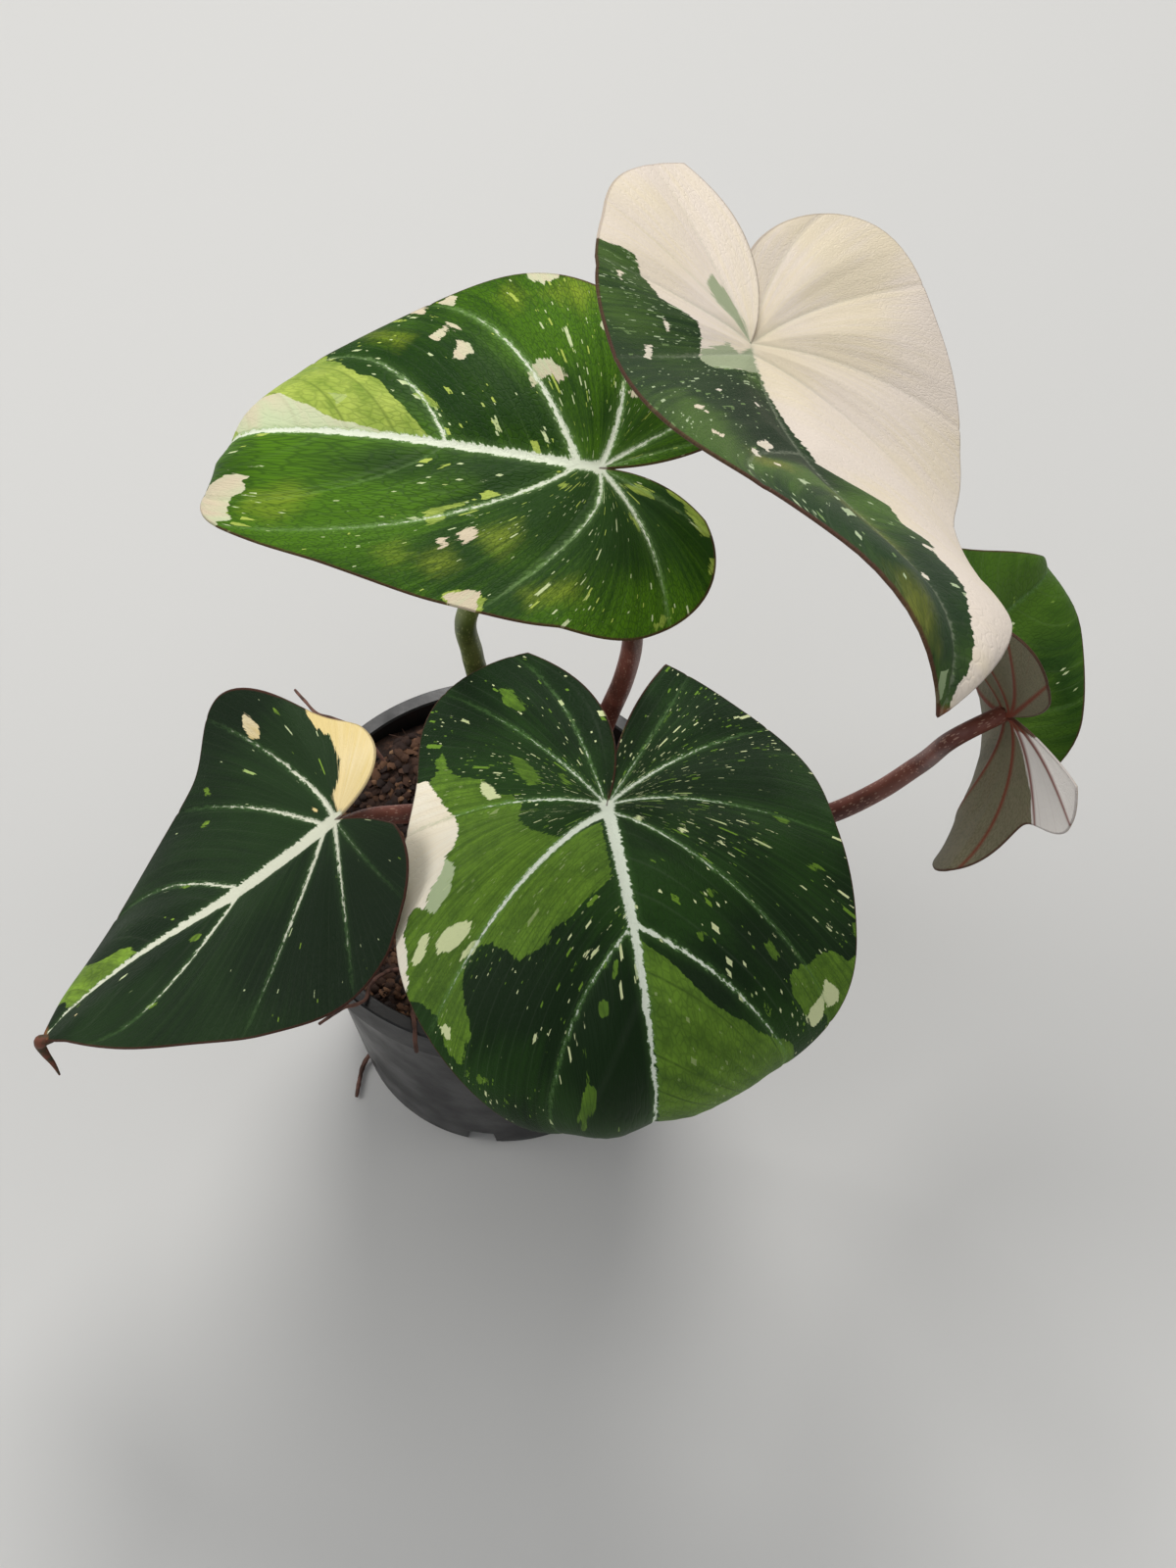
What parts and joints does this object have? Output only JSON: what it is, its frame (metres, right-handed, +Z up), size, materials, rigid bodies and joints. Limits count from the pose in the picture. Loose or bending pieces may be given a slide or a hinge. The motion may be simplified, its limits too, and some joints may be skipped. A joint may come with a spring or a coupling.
{
  "type": "potted plant",
  "caption": "Variegated philodendron gloriosum: large heart-shaped velvety leaves with pale veins and cream patches on long stalks, in a round black nursery pot of chunky potting mix",
  "frame": {"origin": "middle of the pot's flat base, where the pot stands", "axes": "+Z up along the pot's axis; -Y toward the side that the front leaf faces; +X to the right when seen from there"},
  "size_m": [0.2883, 0.1815, 0.3791],
  "materials": {
    "pot_plastic": "black, thin-walled, slightly glossy",
    "potting_mix": "brown coir and bark chips, loose and dry on top",
    "rhizome": "green-brown creeping stem with papery scales",
    "petiole": "red-brown stalk with fine pale speckles",
    "petiole_green": "olive-green stalk with fine pale speckles",
    "blade_green": "mid-green velvety leaf with dark zones, lime and cream patches and white veins",
    "blade_cream": "velvety leaf, mostly cream white, with a mottled green strip along one side",
    "blade_dark": "dark blue-green velvety leaf with white veins, lime and cream sectors",
    "blade_pale": "grey-green underside with red-brown veins, green and cream upper side",
    "root": "dry pinkish-brown root"
  },
  "bodies": {
    "root": {"pot": "pot_plastic", "potting_mix": "potting_mix", "rhizome": "rhizome", "petiole_1": "petiole", "petiole_2": "petiole_green", "petiole_3": "petiole", "petiole_4": "petiole", "petiole_5": "petiole", "blade_1": "blade_green", "blade_2": "blade_cream", "blade_3": "blade_dark", "blade_4": "blade_dark", "blade_5": "blade_pale", "root_back": "root", "root_forked": "root", "root_rim": "root", "root_drain": "root"}
  },
  "joints": []
}
